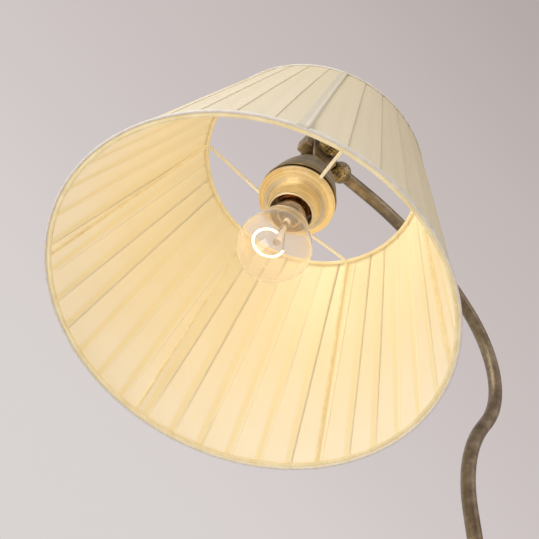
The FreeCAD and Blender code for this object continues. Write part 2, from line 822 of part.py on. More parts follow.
def screw_shell():
    """Rolled brass shell that takes the bulb's cap."""
    top = -holder_joint_drop - insert_thickness
    inner = screw_shell_radius - screw_shell_wall
    flange = screw_shell_radius + screw_shell_flange
    under = top - screw_shell_wall
    end = top - screw_shell_length
    return turned((inner, top), (flange, top), (flange, under), (screw_shell_radius, under),
                  (screw_shell_radius, end), (inner, end))


def centre_contact():
    top = -holder_joint_drop - insert_thickness
    edge = top - contact_height / 3
    return turned((0, top), (contact_radius, top), (contact_radius, edge),
                  dome(contact_radius, edge, top - contact_height))


def ring_nut():
    """Threaded ring that clamps the shade's plate: a grip, then a skirt that tapers in a curve."""
    bore = holder_radius + ring_nut_gap
    top = -plate_seat_drop - plate_thickness
    grip = top - ring_nut_grip
    low = top - ring_nut_height
    taper = ring_nut_radius - ring_nut_face_radius
    face = (ring_nut_face_radius + ring_nut_bulge * taper, (grip + low) / 2)
    return turned((bore, top), (ring_nut_radius, top), (ring_nut_radius, grip),
                  (face, (ring_nut_face_radius, low)), (bore, low))


def plate_height(radius):
    """Height of the plate's upper face at a radius."""
    seat = -plate_seat_drop
    slope = plate_rim_lift / (plate_radius - plate_slope_radius)
    return seat + max(0.0, radius - plate_slope_radius) * slope


def spider_plate():
    """Dished plate in the middle of the shade's frame."""
    bore = holder_radius + passing_gap
    seat = -plate_seat_drop
    rim = plate_height(plate_radius)
    thick = plate_thickness
    bead = plate_radius - plate_bead
    return turned((bore, seat), (plate_slope_radius, seat), (bead, rim - plate_bead),
                  ((plate_radius - plate_bead / 2, rim - plate_bead / 8), (plate_radius, rim - plate_bead)),
                  (plate_radius, rim - thick - plate_bead_lift),
                  (plate_slope_radius + plate_bead_lift, seat - thick), (bore, seat - thick))


# ------------------------------------------------------------------ bulb

def bulb_body(radius, neck):
    """Globe with a cone that touches it and narrows to the neck."""
    start_height = -bulb_tip_drop - bulb_cap_length
    rise = start_height + globe_drop
    lean = math.atan2(neck, rise) + math.acos(radius / math.hypot(neck, rise))
    halfway = (lean + math.pi) / 2

    def on_globe(angle):
        return radius * math.sin(angle), -globe_drop + radius * math.cos(angle)
    return turned((0, start_height), (neck, start_height), on_globe(lean),
                  (on_globe(halfway), (0, -globe_drop - radius)))


def bulb_glass():
    outer = bulb_body(bulb_radius, bulb_neck_radius)
    inner = bulb_body(bulb_radius - bulb_glass_wall, bulb_neck_radius - bulb_glass_wall)
    return outer.cut(inner)


def bulb_cap():
    top = -bulb_tip_drop - bulb_tip_height - bulb_insulator_height
    low = -bulb_tip_drop - bulb_cap_length
    radius = bulb_cap_radius
    wall = bulb_cap_wall
    shoulder = top - bulb_cap_shoulder_height
    narrow = radius - bulb_cap_shoulder
    return turned((narrow, top), (radius, shoulder), (radius, low), (radius - wall, low),
                  (radius - wall, shoulder - wall / 2), (narrow - wall, top - wall), (narrow - wall, top))


def bulb_insulator():
    top = -bulb_tip_drop - bulb_tip_height
    low = top - bulb_insulator_height
    edge = bulb_cap_radius - bulb_cap_shoulder - bulb_cap_wall
    return turned((0, top), (bulb_tip_radius, top), (edge, low), (0, low))


def bulb_tip():
    """Bead of solder on the end of the cap."""
    edge = -bulb_tip_drop - bulb_tip_height
    radius = bulb_tip_radius - bulb_tip_height / 3
    return turned((0, edge), (radius, edge), dome(radius, edge, -bulb_tip_drop))


def bulb_stem():
    """Glass stem whose flare closes the neck of the bulb."""
    top = -bulb_tip_drop - bulb_cap_length
    low = top - stem_length
    flare = bulb_neck_radius - bulb_glass_wall
    bead_edge = low + math.sqrt(stem_bead_radius ** 2 - stem_radius ** 2)
    return turned((0, top), (flare, top), (flare, top - stem_flare_edge),
                  ((stem_radius + stem_flare_out, top - stem_flare_height),
                   (stem_radius, top - stem_length / 2)),
                  (stem_radius, bead_edge), ((stem_bead_radius, low), (0, low - stem_bead_radius)))


def bulb_filament():
    """Wire ring beside the stem, open where it passes it, with its two leads."""
    height = -globe_drop + filament_lift
    top = -bulb_tip_drop - bulb_cap_length - stem_length / 2
    middle = polar(filament_offset, filament_side, height)
    first = filament_side + 180 + filament_opening / 2
    last = filament_side + 540 - filament_opening / 2
    ring = Part.Wire(Part.makeCircle(filament_ring_radius, middle, V(0, 0, 1), first, last))
    start = middle + polar(filament_ring_radius, first)
    round_wire = Part.Wire(Part.makeCircle(filament_radius, start, polar(1, first + 90)))
    pieces = [ring.makePipeShell([round_wire], True, True)]
    for angle in (first, last):
        end = middle + polar(filament_ring_radius, angle)
        foot = polar(stem_radius, math.degrees(math.atan2(end.y, end.x)), top)
        pieces.append(straight_wire(foot, end, lead_radius))
    return pieces[0].fuse(pieces[1:]).cut(bulb_stem())


def straight_wire(start, end, radius):
    return Part.makeCylinder(radius, (end - start).Length, start, end - start)


# ----------------------------------------------------------------- shade

def cone_radius(drop, inset=0.0):
    """The shade's outer radius at a drop, less an inset square to its slope."""
    return shade_top_radius + (drop - shade_top_drop) * shade_slope - inset / shade_slant


def cone_band(high_drop, low_drop, outer_inset, inner_inset):
    return turned((cone_radius(high_drop, outer_inset), -high_drop),
                  (cone_radius(low_drop, outer_inset), -low_drop),
                  (cone_radius(low_drop, inner_inset), -low_drop),
                  (cone_radius(high_drop, inner_inset), -high_drop))


def shade_fabric():
    return cone_band(shade_top_drop + tape_thickness, shade_bottom_drop - tape_thickness,
                     tape_thickness, tape_thickness + fabric_thickness)


def edge_tape(edge_drop, inward):
    """Tape turned over an edge: a band outside and a narrow face over the edge."""
    thick = tape_thickness
    band = sorted((edge_drop, edge_drop + inward * tape_width))
    face = sorted((edge_drop, edge_drop + inward * thick))
    cover = thick + fabric_thickness
    return cone_band(*band, 0, thick).fuse(cone_band(*face, thick, cover)).removeSplitter()


def ring_line(edge_drop, inward):
    """Radius and drop of a ring wire's centre, just inside the fabric and off the tape."""
    drop = edge_drop + inward * (tape_thickness + ring_wire_radius + seat_gap)
    inset = tape_thickness + fabric_thickness + ring_wire_radius + seat_gap
    return cone_radius(drop, inset), drop


def ring_wire(edge_drop, inward):
    radius, drop = ring_line(edge_drop, inward)
    return Part.makeTorus(radius, ring_wire_radius, V(0, 0, -drop))


def shade_struts():
    rings = [ring_wire(shade_top_drop, 1), ring_wire(shade_bottom_drop, -1)]
    arms = spider_arms()
    inset = tape_thickness + fabric_thickness + ring_wire_radius + seat_gap
    high = ring_line(shade_top_drop, 1)[1]
    low = ring_line(shade_bottom_drop, -1)[1]
    struts = []
    for i in range(strut_count):
        angle = first_arm_angle + 360 * i / strut_count
        strut = straight_wire(polar(cone_radius(high, inset), angle, -high),
                              polar(cone_radius(low, inset), angle, -low), strut_wire_radius)
        whole = strut.cut(rings[0]).cut(rings[1]).cut(arms)
        struts.append(max(whole.Solids, key=lambda solid: solid.Volume))
    return Part.makeCompound(struts)


def spider_arms():
    ring = ring_wire(shade_top_drop, 1)
    radius, drop = ring_line(shade_top_drop, 1)
    plate = spider_plate()
    start_radius = plate_radius - 1
    start_height = plate_height(start_radius) - plate_thickness - 0.3
    arms = []
    for i in range(arm_count):
        angle = first_arm_angle + 360 * i / arm_count
        arm = straight_wire(polar(start_radius, angle, start_height), polar(radius, angle, -drop),
                            arm_wire_radius)
        whole = arm.cut(ring).cut(plate)
        arms.append(max(whole.Solids, key=lambda solid: solid.Volume))
    return Part.makeCompound(arms)


# --------------------------------------------------------------- nodes

def build():
    nodes = {
        "base_felt": base_felt(),
        "base_weight": base_weight(),
        "base_cover": base_cover(),
        "cord_gland": cord_gland(),
        "tie_nipple": tie_nipple(),
        "base_washer": base_washer(),
        "base_nut": base_nut(),
        "column_foot": column_foot(),
        "column_plug": column_plug(),
        "column_tube": column_tube(),
        "column_ferrule": column_ferrule(),
        "swivel_collar": swivel_collar(),
        "retaining_screws": retaining_screws(),
        "guide_bush": guide_bush(),
        "clamp_shoe": clamp_shoe(),
        "thumb_screw": thumb_screw(),
        "neck_tube": neck_tube(),
        "neck_foot_bush": foot_bush(),
        "neck_ball": neck_side(neck_ball()),
        "knuckle_bar": neck_side(knuckle_bar()),
        "friction_washers": neck_side(friction_washers()),
        "tilt_yoke": on_head(tilt_yoke()),
        "hinge_bolt": on_head(hinge_bolt()),
        "spring_washer": on_head(spring_washer()),
        "tilt_knob": on_head(tilt_knob()),
        "lock_nut": on_head(lock_nut()),
        "holder_husk": on_head(holder_husk()),
        "holder_nipple": on_head(holder_nipple()),
        "holder_cap": on_head(holder_cap()),
        "cap_nut": on_head(cap_nut()),
        "holder_dome": on_head(holder_dome()),
        "holder_shell": on_head(holder_shell()),
        "holder_insert": on_head(holder_insert()),
        "terminal_screws": on_head(terminal_screws()),
        "screw_shell": on_head(screw_shell()),
        "centre_contact": on_head(centre_contact()),
        "ring_nut": on_head(ring_nut()),
        "spider_plate": on_head(spider_plate()),
        "spider_arms": on_head(spider_arms()),
        "bulb_glass": on_head(bulb_glass()),
        "bulb_cap": on_head(bulb_cap()),
        "bulb_insulator": on_head(bulb_insulator()),
        "bulb_tip": on_head(bulb_tip()),
        "bulb_stem": on_head(bulb_stem()),
        "bulb_filament": on_head(bulb_filament()),
        "shade_top_ring": on_head(ring_wire(shade_top_drop, 1)),
        "shade_bottom_ring": on_head(ring_wire(shade_bottom_drop, -1)),
        "shade_struts": on_head(shade_struts()),
        "shade_fabric": on_head(shade_fabric()),
        "shade_top_tape": on_head(edge_tape(shade_top_drop, 1)),
        "shade_bottom_tape": on_head(edge_tape(shade_bottom_drop, -1)),
    }
    os.makedirs("parts", exist_ok=True)
    for name, shape in nodes.items():
        shape.exportStep("parts/" + name + ".step")
        print(name, "solids", len(shape.Solids), "volume", round(shape.Volume, 1), "valid", shape.isValid())
    print("tilt hinge at", hinge_point())


build()
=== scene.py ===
# Bridge floor lamp: a bent brass neck, a pleated cloth shade on a tilting knuckle and a lit clear bulb.
import json
import math

import bmesh
import bpy
import numpy as np
from mathutils import Matrix, Vector


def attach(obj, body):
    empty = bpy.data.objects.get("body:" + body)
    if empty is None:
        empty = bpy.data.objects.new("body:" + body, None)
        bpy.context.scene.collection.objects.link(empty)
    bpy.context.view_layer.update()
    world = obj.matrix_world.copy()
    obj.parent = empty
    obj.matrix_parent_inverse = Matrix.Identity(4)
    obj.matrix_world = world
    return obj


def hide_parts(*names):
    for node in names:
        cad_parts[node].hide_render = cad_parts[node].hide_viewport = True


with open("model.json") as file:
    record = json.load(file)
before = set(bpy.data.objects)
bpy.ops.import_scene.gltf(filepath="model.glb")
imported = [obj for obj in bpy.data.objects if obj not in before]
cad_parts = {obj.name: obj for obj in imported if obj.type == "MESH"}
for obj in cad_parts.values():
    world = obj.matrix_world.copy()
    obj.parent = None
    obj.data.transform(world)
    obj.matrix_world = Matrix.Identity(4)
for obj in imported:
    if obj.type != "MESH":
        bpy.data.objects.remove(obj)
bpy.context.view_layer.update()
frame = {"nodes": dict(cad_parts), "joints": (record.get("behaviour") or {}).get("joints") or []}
nodes = frame["nodes"]
print("frame loaded with", len(nodes), "nodes")

mm = 0.001
mergeDistance = 1e-6          # metres; points closer than this become one
headLean = math.radians(19.37)  # the shade's axis leans back from the vertical
hinge = np.array(next(joint["pos_m"] for joint in frame["joints"] if joint["name"] == "head_tilt"))


def fromHead(points):
    # turns points about Y by the head's lean and moves them from the tilt hinge to the lamp's frame
    x, y, z = points[..., 0], points[..., 1], points[..., 2]
    c, s = math.cos(headLean), math.sin(headLean)
    return np.stack([x * c - z * s, y, x * s + z * c], axis=-1) + hinge


def around(radius, angle, height):
    # points at a radius, an angle in radians and a height about the Z axis
    return np.stack(np.broadcast_arrays(radius * np.cos(angle), radius * np.sin(angle), height), axis=-1)


def addSurface(name, grid, body, skins, wrapU=False, wrapV=False, uv=None, flip=False, attributes=None,
               poles=False):
    # a grid of points becomes quads between neighbours; wrapU and wrapV join the last row to the first,
    # and poles merges the points of a row that closes to one point
    nu, nv = grid.shape[:2]
    i, j = np.meshgrid(np.arange(nu if wrapU else nu - 1), np.arange(nv if wrapV else nv - 1),
                       indexing="ij")
    i, j = i.ravel(), j.ravel()
    corners = np.stack([i, i + 1, i + 1, i], 1), np.stack([j, j, j + 1, j + 1], 1)
    if flip:
        corners = corners[0][:, ::-1], corners[1][:, ::-1]
    quads = (corners[0] % nu) * nv + corners[1] % nv
    mesh = bpy.data.meshes.new(name)
    mesh.vertices.add(nu * nv)
    mesh.vertices.foreach_set("co", grid.reshape(-1).astype(np.float32))
    mesh.loops.add(quads.size)
    mesh.loops.foreach_set("vertex_index", quads.reshape(-1).astype(np.int32))
    mesh.polygons.add(len(quads))
    mesh.polygons.foreach_set("loop_start", np.arange(0, quads.size, 4, dtype=np.int32))
    mesh.update(calc_edges=True)
    if uv is not None:
        layer = mesh.uv_layers.new(name="cut")
        flat = np.stack([uv[0][corners[0]], uv[1][corners[1]]], -1)
        layer.data.foreach_set("uv", flat.reshape(-1).astype(np.float32))
    for title, values in (attributes or {}).items():
        attribute = mesh.attributes.new(title, "FLOAT", "POINT")
        attribute.data.foreach_set("value", values.reshape(-1).astype(np.float32))
    if poles:
        merged = bmesh.new()
        merged.from_mesh(mesh)
        bmesh.ops.remove_doubles(merged, verts=merged.verts, dist=mergeDistance)
        merged.to_mesh(mesh)
        merged.free()
    mesh.shade_smooth()
    piece = bpy.data.objects.new(name, mesh)
    bpy.context.scene.collection.objects.link(piece)
    for skin in skins:
        mesh.materials.append(skin)
    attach(piece, body)
    return piece


def modify(piece, kind, **settings):
    modifier = piece.modifiers.new(kind.title(), kind)
    for key, value in settings.items():
        setattr(modifier, key, value)


def linear(hexColour):
    # sRGB hex to linear values, by the standard's own curve
    parts = [int(hexColour[k:k + 2], 16) / 255 for k in (1, 3, 5)]
    return tuple(p / 12.92 if p <= 0.04045 else ((p + 0.055) / 1.055) ** 2.4 for p in parts) + (1.0,)


def addNode(tree, kind, values=None, links=None, stops=(), **settings):
    # values and links go to sockets by name or number; stops are the places and colours of a colour ramp
    node = tree.nodes.new(kind)
    for key, value in settings.items():
        setattr(node, key, value)
    for socket, value in (values or {}).items():
        node.inputs[socket].default_value = value
    for socket, source in (links or {}).items():
        tree.links.new(source, node.inputs[socket])
    for k, (place, colour) in enumerate(stops):
        element = node.color_ramp.elements[k] if k < 2 else node.color_ramp.elements.new(place)
        element.position = place
        element.color = linear(colour)
    return node


def newMaterial(name):
    material = bpy.data.materials.new(name)
    material.use_nodes = True
    material.node_tree.nodes.clear()
    return material, material.node_tree


latheTurn = 0.02              # share of the way round that stays, so that turning rings aren't perfect


def latheCoordinates(tree):
    # head frame coordinates as (distance from the axis, a little of the turn, height),
    # for marks left by turning
    place = addNode(tree, "ShaderNodeTexCoord").outputs["Object"]
    back = Matrix.Rotation(headLean, 4, "Y") @ Matrix.Translation(-Vector(hinge))
    local = addNode(tree, "ShaderNodeMapping",
                    {"Location": back.to_translation(), "Rotation": (0, headLean, 0)},
                    {"Vector": place}, vector_type="POINT").outputs["Vector"]
    flat = addNode(tree, "ShaderNodeVectorMath", {1: (1, 1, 0)}, {0: local},
                   operation="MULTIPLY").outputs[0]
    radius = addNode(tree, "ShaderNodeVectorMath", None, {0: flat}, operation="LENGTH").outputs["Value"]
    height = addNode(tree, "ShaderNodeSeparateXYZ", None, {0: local}).outputs["Z"]
    rings = addNode(tree, "ShaderNodeCombineXYZ", None, {"X": radius, "Z": height}).outputs[0]
    return addNode(tree, "ShaderNodeVectorMath", {1: (latheTurn,) * 3}, {0: local, 2: rings},
                   operation="MULTIPLY_ADD").outputs[0]


# what a finish has where its own entry doesn't say otherwise; mottle, grain and depth are in mm
plainFinish = {"metallic": 0.0, "grainShare": 0.3, "lathe": False, "bump": 0.2, "depth": 0.05, "values": {}}
# settings of the slow and the fine noise, and the noise values that get the three colours
# and the ends of the roughness
noiseLook = {
    "slow": {"Detail": 4, "Roughness": 0.6}, "fine": {"Detail": 3, "Roughness": 0.55},
    "stops": (0.38, 0.50, 0.62), "roughness": {"From Min": 0.35, "From Max": 0.65},
}


def surfaceFinish(name, look):
    # two sizes of noise: a slow one mottles the colour and roughness, a fine one is the grain and the bump
    look = {**plainFinish, **look}
    material, tree = newMaterial(name)
    place = addNode(tree, "ShaderNodeTexCoord").outputs["Object"]
    grainPlace = latheCoordinates(tree) if look["lathe"] else place
    slow = addNode(tree, "ShaderNodeTexNoise", {"Scale": 1 / (look["mottle"] * mm), **noiseLook["slow"]},
                   {"Vector": place}).outputs[0]
    fine = addNode(tree, "ShaderNodeTexNoise", {"Scale": 1 / (look["grain"] * mm), **noiseLook["fine"]},
                   {"Vector": grainPlace}).outputs[0]
    mix = addNode(tree, "ShaderNodeMix", {0: look["grainShare"]}, {2: slow, 3: fine}).outputs[0]
    stops = list(zip(noiseLook["stops"], look["colours"]))
    colour = addNode(tree, "ShaderNodeValToRGB", None, {0: mix}, stops).outputs[0]
    low, high = look["roughness"]
    rough = addNode(tree, "ShaderNodeMapRange", {**noiseLook["roughness"], "To Min": low, "To Max": high},
                    {"Value": mix}).outputs[0]
    bump = addNode(tree, "ShaderNodeBump", {"Strength": look["bump"], "Distance": look["depth"] * mm},
                   {"Height": fine}).outputs[0]
    links = {"Base Color": colour, "Roughness": rough, "Normal": bump}
    # an emission in the finish's own colour is a painted glow
    if "Emission Strength" in look["values"]:
        links["Emission Color"] = colour
    surface = addNode(tree, "ShaderNodeBsdfPrincipled", {"Metallic": look["metallic"], **look["values"]},
                      links).outputs[0]
    addNode(tree, "ShaderNodeOutputMaterial", None, {"Surface": surface})
    return material


finishes = {
    # brass darkened in acid, brushed and lacquered: grey brown with lighter rubbed places
    "antiqueBrass": surfaceFinish("antiqueBrass", {
        "colours": ["#7A6C58", "#958670", "#AEA18A"], "mottle": 12, "grain": 0.8,
        "roughness": (0.36, 0.50), "metallic": 1.0, "bump": 0.2, "depth": 0.03}),
    # the same finish on spun and turned pieces, with the rings that the tool leaves
    "spunBrass": surfaceFinish("spunBrass", {
        "colours": ["#6A5E46", "#978866", "#C9BA94"], "mottle": 14, "grain": 1.2, "grainShare": 0.75,
        "lathe": True, "roughness": (0.28, 0.44), "metallic": 1.0, "bump": 0.5, "depth": 0.06}),
    # lacquered bright brass of the holder's inner pieces
    "brightBrass": surfaceFinish("brightBrass", {
        "colours": ["#C79A4E", "#DDB368", "#EBCB8C"], "mottle": 9, "grain": 0.7,
        "lathe": True, "roughness": (0.18, 0.34), "metallic": 1.0, "bump": 0.22, "depth": 0.03}),
    # pale satin brass of the shade's plate and ring: fine turning rings spread the reflections
    "satinBrass": surfaceFinish("satinBrass", {
        "colours": ["#E2CB9C", "#F2E2BF", "#FBF1DA"], "mottle": 9, "grain": 0.8, "grainShare": 0.75,
        "lathe": True, "roughness": (0.30, 0.44), "metallic": 1.0, "bump": 0.45, "depth": 0.05}),
    # copper coloured rolled shell inside the holder
    "rolledCopper": surfaceFinish("rolledCopper", {
        "colours": ["#6A3D28", "#A46A48", "#CF9468"], "mottle": 6, "grain": 1.0, "grainShare": 0.8,
        "lathe": True, "roughness": (0.24, 0.42), "metallic": 1.0, "bump": 0.5, "depth": 0.1}),
    # zinc plated steel: blue grey, slightly cloudy
    "zincSteel": surfaceFinish("zincSteel", {
        "colours": ["#9C9A96", "#B4B2AD", "#C6C4BE"], "mottle": 8, "grain": 0.5,
        "roughness": (0.28, 0.45), "metallic": 1.0, "bump": 0.2, "depth": 0.03}),
    # grey cast iron with the sand's grain
    "castIron": surfaceFinish("castIron", {
        "colours": ["#26262A", "#34343A", "#47474D"], "mottle": 12, "grain": 1.6,
        "roughness": (0.55, 0.8), "metallic": 0.6, "bump": 0.6, "depth": 0.3}),
    # off-white enamel on the three arms
    "whiteEnamel": surfaceFinish("whiteEnamel", {
        "colours": ["#F4EFE6", "#FAF7F0", "#FEFCF8"], "mottle": 20, "grain": 1.2,
        "roughness": (0.30, 0.44), "bump": 0.12, "depth": 0.05}),
    # ring and strut wires bound in strips of the shade's cloth; their emission is a painted glow for the
    # bulb's light through the cloth, and it lightens their shaded sides
    "boundWire": surfaceFinish("boundWire", {
        "colours": ["#D6C496", "#DDCDA2", "#E3D5AE"], "mottle": 12, "grain": 1.0,
        "roughness": (0.8, 0.92), "bump": 0.1, "depth": 0.1, "values": {"Emission Strength": 0.34}}),
    # black moulded plastic with a fine spark texture
    "blackPlastic": surfaceFinish("blackPlastic", {
        "colours": ["#161616", "#1C1C1C", "#232323"], "mottle": 10, "grain": 0.5,
        "roughness": (0.42, 0.56), "bump": 0.25, "depth": 0.05}),
    # white nylon of the two guide bushes
    "nylon": surfaceFinish("nylon", {
        "colours": ["#D6D3C8", "#DEDBD0", "#E6E3D8"], "mottle": 10, "grain": 0.8,
        "roughness": (0.35, 0.5), "bump": 0.15, "depth": 0.04}),
    # red brown vulcanised fibre washers
    "fibre": surfaceFinish("fibre", {
        "colours": ["#4E2A1C", "#5F3523", "#70402A"], "mottle": 5, "grain": 0.4,
        "roughness": (0.55, 0.75), "bump": 0.35, "depth": 0.05}),
    # white glazed porcelain
    "porcelain": surfaceFinish("porcelain", {
        "colours": ["#E4E0D6", "#EAE7DE", "#F0EDE5"], "mottle": 8, "grain": 1.0,
        "roughness": (0.12, 0.2), "bump": 0.08, "depth": 0.05, "values": {"Coat Weight": 0.4}}),
    # dark wool felt under the base: matted fibres with a dusty sheen
    "felt": surfaceFinish("felt", {
        "colours": ["#24211F", "#2F2B28", "#3D3834"], "mottle": 6, "grain": 0.9,
        "roughness": (0.85, 0.98), "bump": 0.8, "depth": 0.3, "values": {"Sheen Weight": 0.5}}),
    # dull grey bead of solder
    "solder": surfaceFinish("solder", {
        "colours": ["#8E8C86", "#9C9A94", "#ABA9A2"], "mottle": 2, "grain": 0.4,
        "roughness": (0.4, 0.55), "metallic": 1.0, "bump": 0.3, "depth": 0.05}),
}


noiseEnds = (0.3, 0.7)        # a plain noise keeps mostly between these values
glassLook = {
    "flow": 14, "colours": ["#FFF9F2", "#FFFCF8"],    # flow marks' size in mm, and the tints that they mix
    "bump": 0.15, "depth": 0.2, "roughness": 0.02, "ior": 1.45,
    "film": 0.06,             # share of the light that the film scatters
    "shadow": "#FFFDF8",      # what is left of white light behind it
}


def clearGlass(name):
    # thin blown soda glass: nearly colourless, with faint flow marks and a film that scatters a little
    # light; light passes it without a dark shadow
    look = glassLook
    material, tree = newMaterial(name)
    place = addNode(tree, "ShaderNodeTexCoord").outputs["Object"]
    flow = addNode(tree, "ShaderNodeTexNoise", {"Scale": 1 / (look["flow"] * mm), "Detail": 1},
                   {"Vector": place}).outputs[0]
    bump = addNode(tree, "ShaderNodeBump", {"Strength": look["bump"], "Distance": look["depth"] * mm},
                   {"Height": flow}).outputs[0]
    stops = list(zip(noiseEnds, look["colours"]))
    tint = addNode(tree, "ShaderNodeValToRGB", None, {0: flow}, stops).outputs[0]
    glass = addNode(tree, "ShaderNodeBsdfPrincipled",
                    {"Roughness": look["roughness"], "Transmission Weight": 1.0, "IOR": look["ior"]},
                    {"Base Color": tint, "Normal": bump}).outputs[0]
    film = addNode(tree, "ShaderNodeBsdfTranslucent", None, {"Color": tint}).outputs[0]
    surface = addNode(tree, "ShaderNodeMixShader", {0: look["film"]}, {1: glass, 2: film}).outputs[0]
    clear = addNode(tree, "ShaderNodeBsdfTransparent", {"Color": linear(look["shadow"])}).outputs[0]
    shadow = addNode(tree, "ShaderNodeLightPath").outputs["Is Shadow Ray"]
    mixed = addNode(tree, "ShaderNodeMixShader", None, {0: shadow, 1: surface, 2: clear}).outputs[0]
    addNode(tree, "ShaderNodeOutputMaterial", None, {"Surface": mixed})
    return material


wireLook = {"grain": 2, "colours": ["#FFE8B8", "#FFF4D8"], "roughness": 0.5, "strength": 5.0}


def glowingWire(name):
    # tungsten at 2700 K: it clips to white with a yellow rim
    look = wireLook
    material, tree = newMaterial(name)
    place = addNode(tree, "ShaderNodeTexCoord").outputs["Object"]
    grain = addNode(tree, "ShaderNodeTexNoise", {"Scale": 1 / (look["grain"] * mm)},
                    {"Vector": place}).outputs[0]
    stops = list(zip(noiseEnds, look["colours"]))
    colour = addNode(tree, "ShaderNodeValToRGB", None, {0: grain}, stops).outputs[0]
    surface = addNode(tree, "ShaderNodeBsdfPrincipled",
                      {"Roughness": look["roughness"], "Emission Strength": look["strength"]},
                      {"Base Color": colour, "Emission Color": colour}).outputs[0]
    addNode(tree, "ShaderNodeOutputMaterial", None, {"Surface": surface})
    return material


finishes["clearGlass"] = clearGlass("clearGlass")
finishes["glowingTungsten"] = glowingWire("glowingTungsten")

# the shade's two edges, in mm; its top edge is topDrop below the tilt hinge, along the head's axis
shade = {"bottomRadius": 155.0, "topRadius": 100.0, "height": 220.0, "topDrop": 30.0}

clothLook = {
    # colours from the top edge to the bottom edge, then of the stacked layers and of the painted highlight
    # on the fold's edge, with how much of those two shows; the fold highlights show from a share of the
    # height downwards, and glow is emission painted for the bulb's light that spreads within the cloth
    "outer": {"height": ["#E2D9BE", "#E5DCC4", "#E9E1CC"], "stacked": "#F1ECDD", "bands": 0.45,
              "foldHighlight": "#FBF9F2", "foldHighlightShare": 0.55, "foldHighlightFrom": -1.0, "glow": 0.03},
    # the inside is the same cloth: its warmer, yellower colours and its stronger glow are painted bulb
    # light
    "inner": {"height": ["#F5E5BB", "#F4E6C2", "#FAF0DA"], "stacked": "#F4E2AD", "bands": 0.6,
              "foldHighlight": "#FFF6E0", "foldHighlightShare": 0.9, "foldHighlightFrom": 0.0, "glow": 0.31},
    "through": 0.22,          # share of the light that passes the cloth
    "threadsPerMm": 1.1,      # the real cloth has 3 threads per mm; drawn coarser so that it shows
    "slub": (1.0, 40),        # a slub's width and length in mm, along the pleats
    "cloud": 45,              # size of the slow clouds in mm
    # each pattern is added to the height by its share, and the sum runs over the three colours
    "shares": {"slubs": 0.30, "clouds": 0.35, "weave": 0.03}, "sum": {"From Min": 0.2, "From Max": 1.4},
    # bands are full below this share of the height, and keep this much at the top edge
    "fade": {"From Max": 0.8, "To Min": 0.25},
    "bump": 0.25, "depth": 0.06, "roughness": 0.85, "sheen": 0.2,
}


